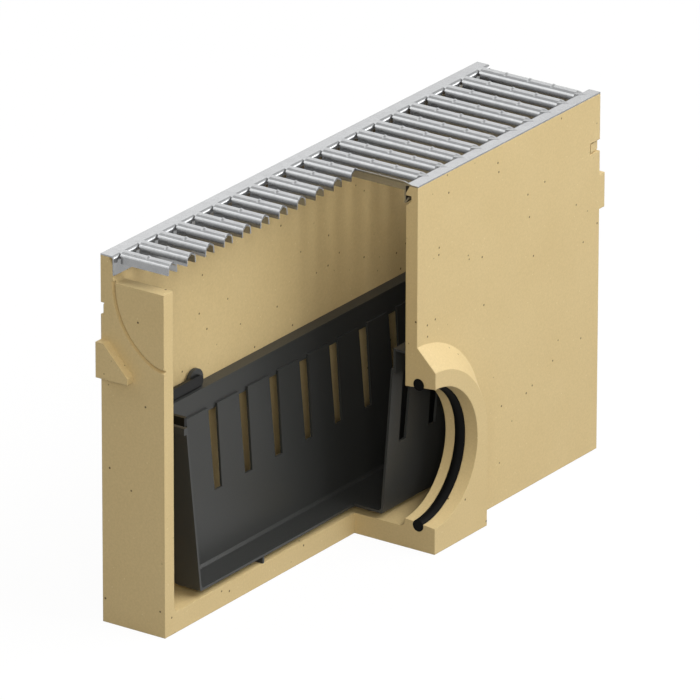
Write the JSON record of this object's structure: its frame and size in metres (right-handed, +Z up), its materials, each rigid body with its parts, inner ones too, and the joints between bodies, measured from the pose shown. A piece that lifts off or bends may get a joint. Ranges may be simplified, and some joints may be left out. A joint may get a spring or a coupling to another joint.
{
  "type": "channel drain",
  "caption": "Inline sump unit of a channel drain in quarter section: cast box, pressed bar grating, slotted silt basket with bail handles and a sealed pipe outlet.",
  "frame": {"origin": "middle of the whole unit's base, on the ground plane, where the two section planes meet", "axes": "+X along the channel, -Y to the side with the pipe outlet, +Z up"},
  "size_m": [0.5146, 0.1332, 0.3025],
  "materials": {
    "polymer_concrete": "cast, fine grained",
    "galvanised_steel": "galvanised sheet",
    "basket_plastic": "moulded, matt",
    "seal_rubber": "moulded"
  },
  "bodies": {
    "unit": {"sump_body": "polymer_concrete", "outlet_seal": "seal_rubber", "bar_grating": "galvanised_steel", "sediment_basket": "basket_plastic"},
    "left_bail": {"left_bail": "basket_plastic"},
    "right_bail": {"right_bail": "basket_plastic"}
  },
  "joints": [
    {"name": "left_bail_swing", "type": "hinge", "parent": "unit", "child": "left_bail", "pos_m": [-0.1505, 0.0433, 0.1679], "axis": [0, 1, 0], "range_deg": [0, 180]},
    {"name": "right_bail_swing", "type": "hinge", "parent": "unit", "child": "right_bail", "pos_m": [0.1505, 0, 0.1679], "axis": [0, -1, 0], "range_deg": [0, 180]}
  ]
}
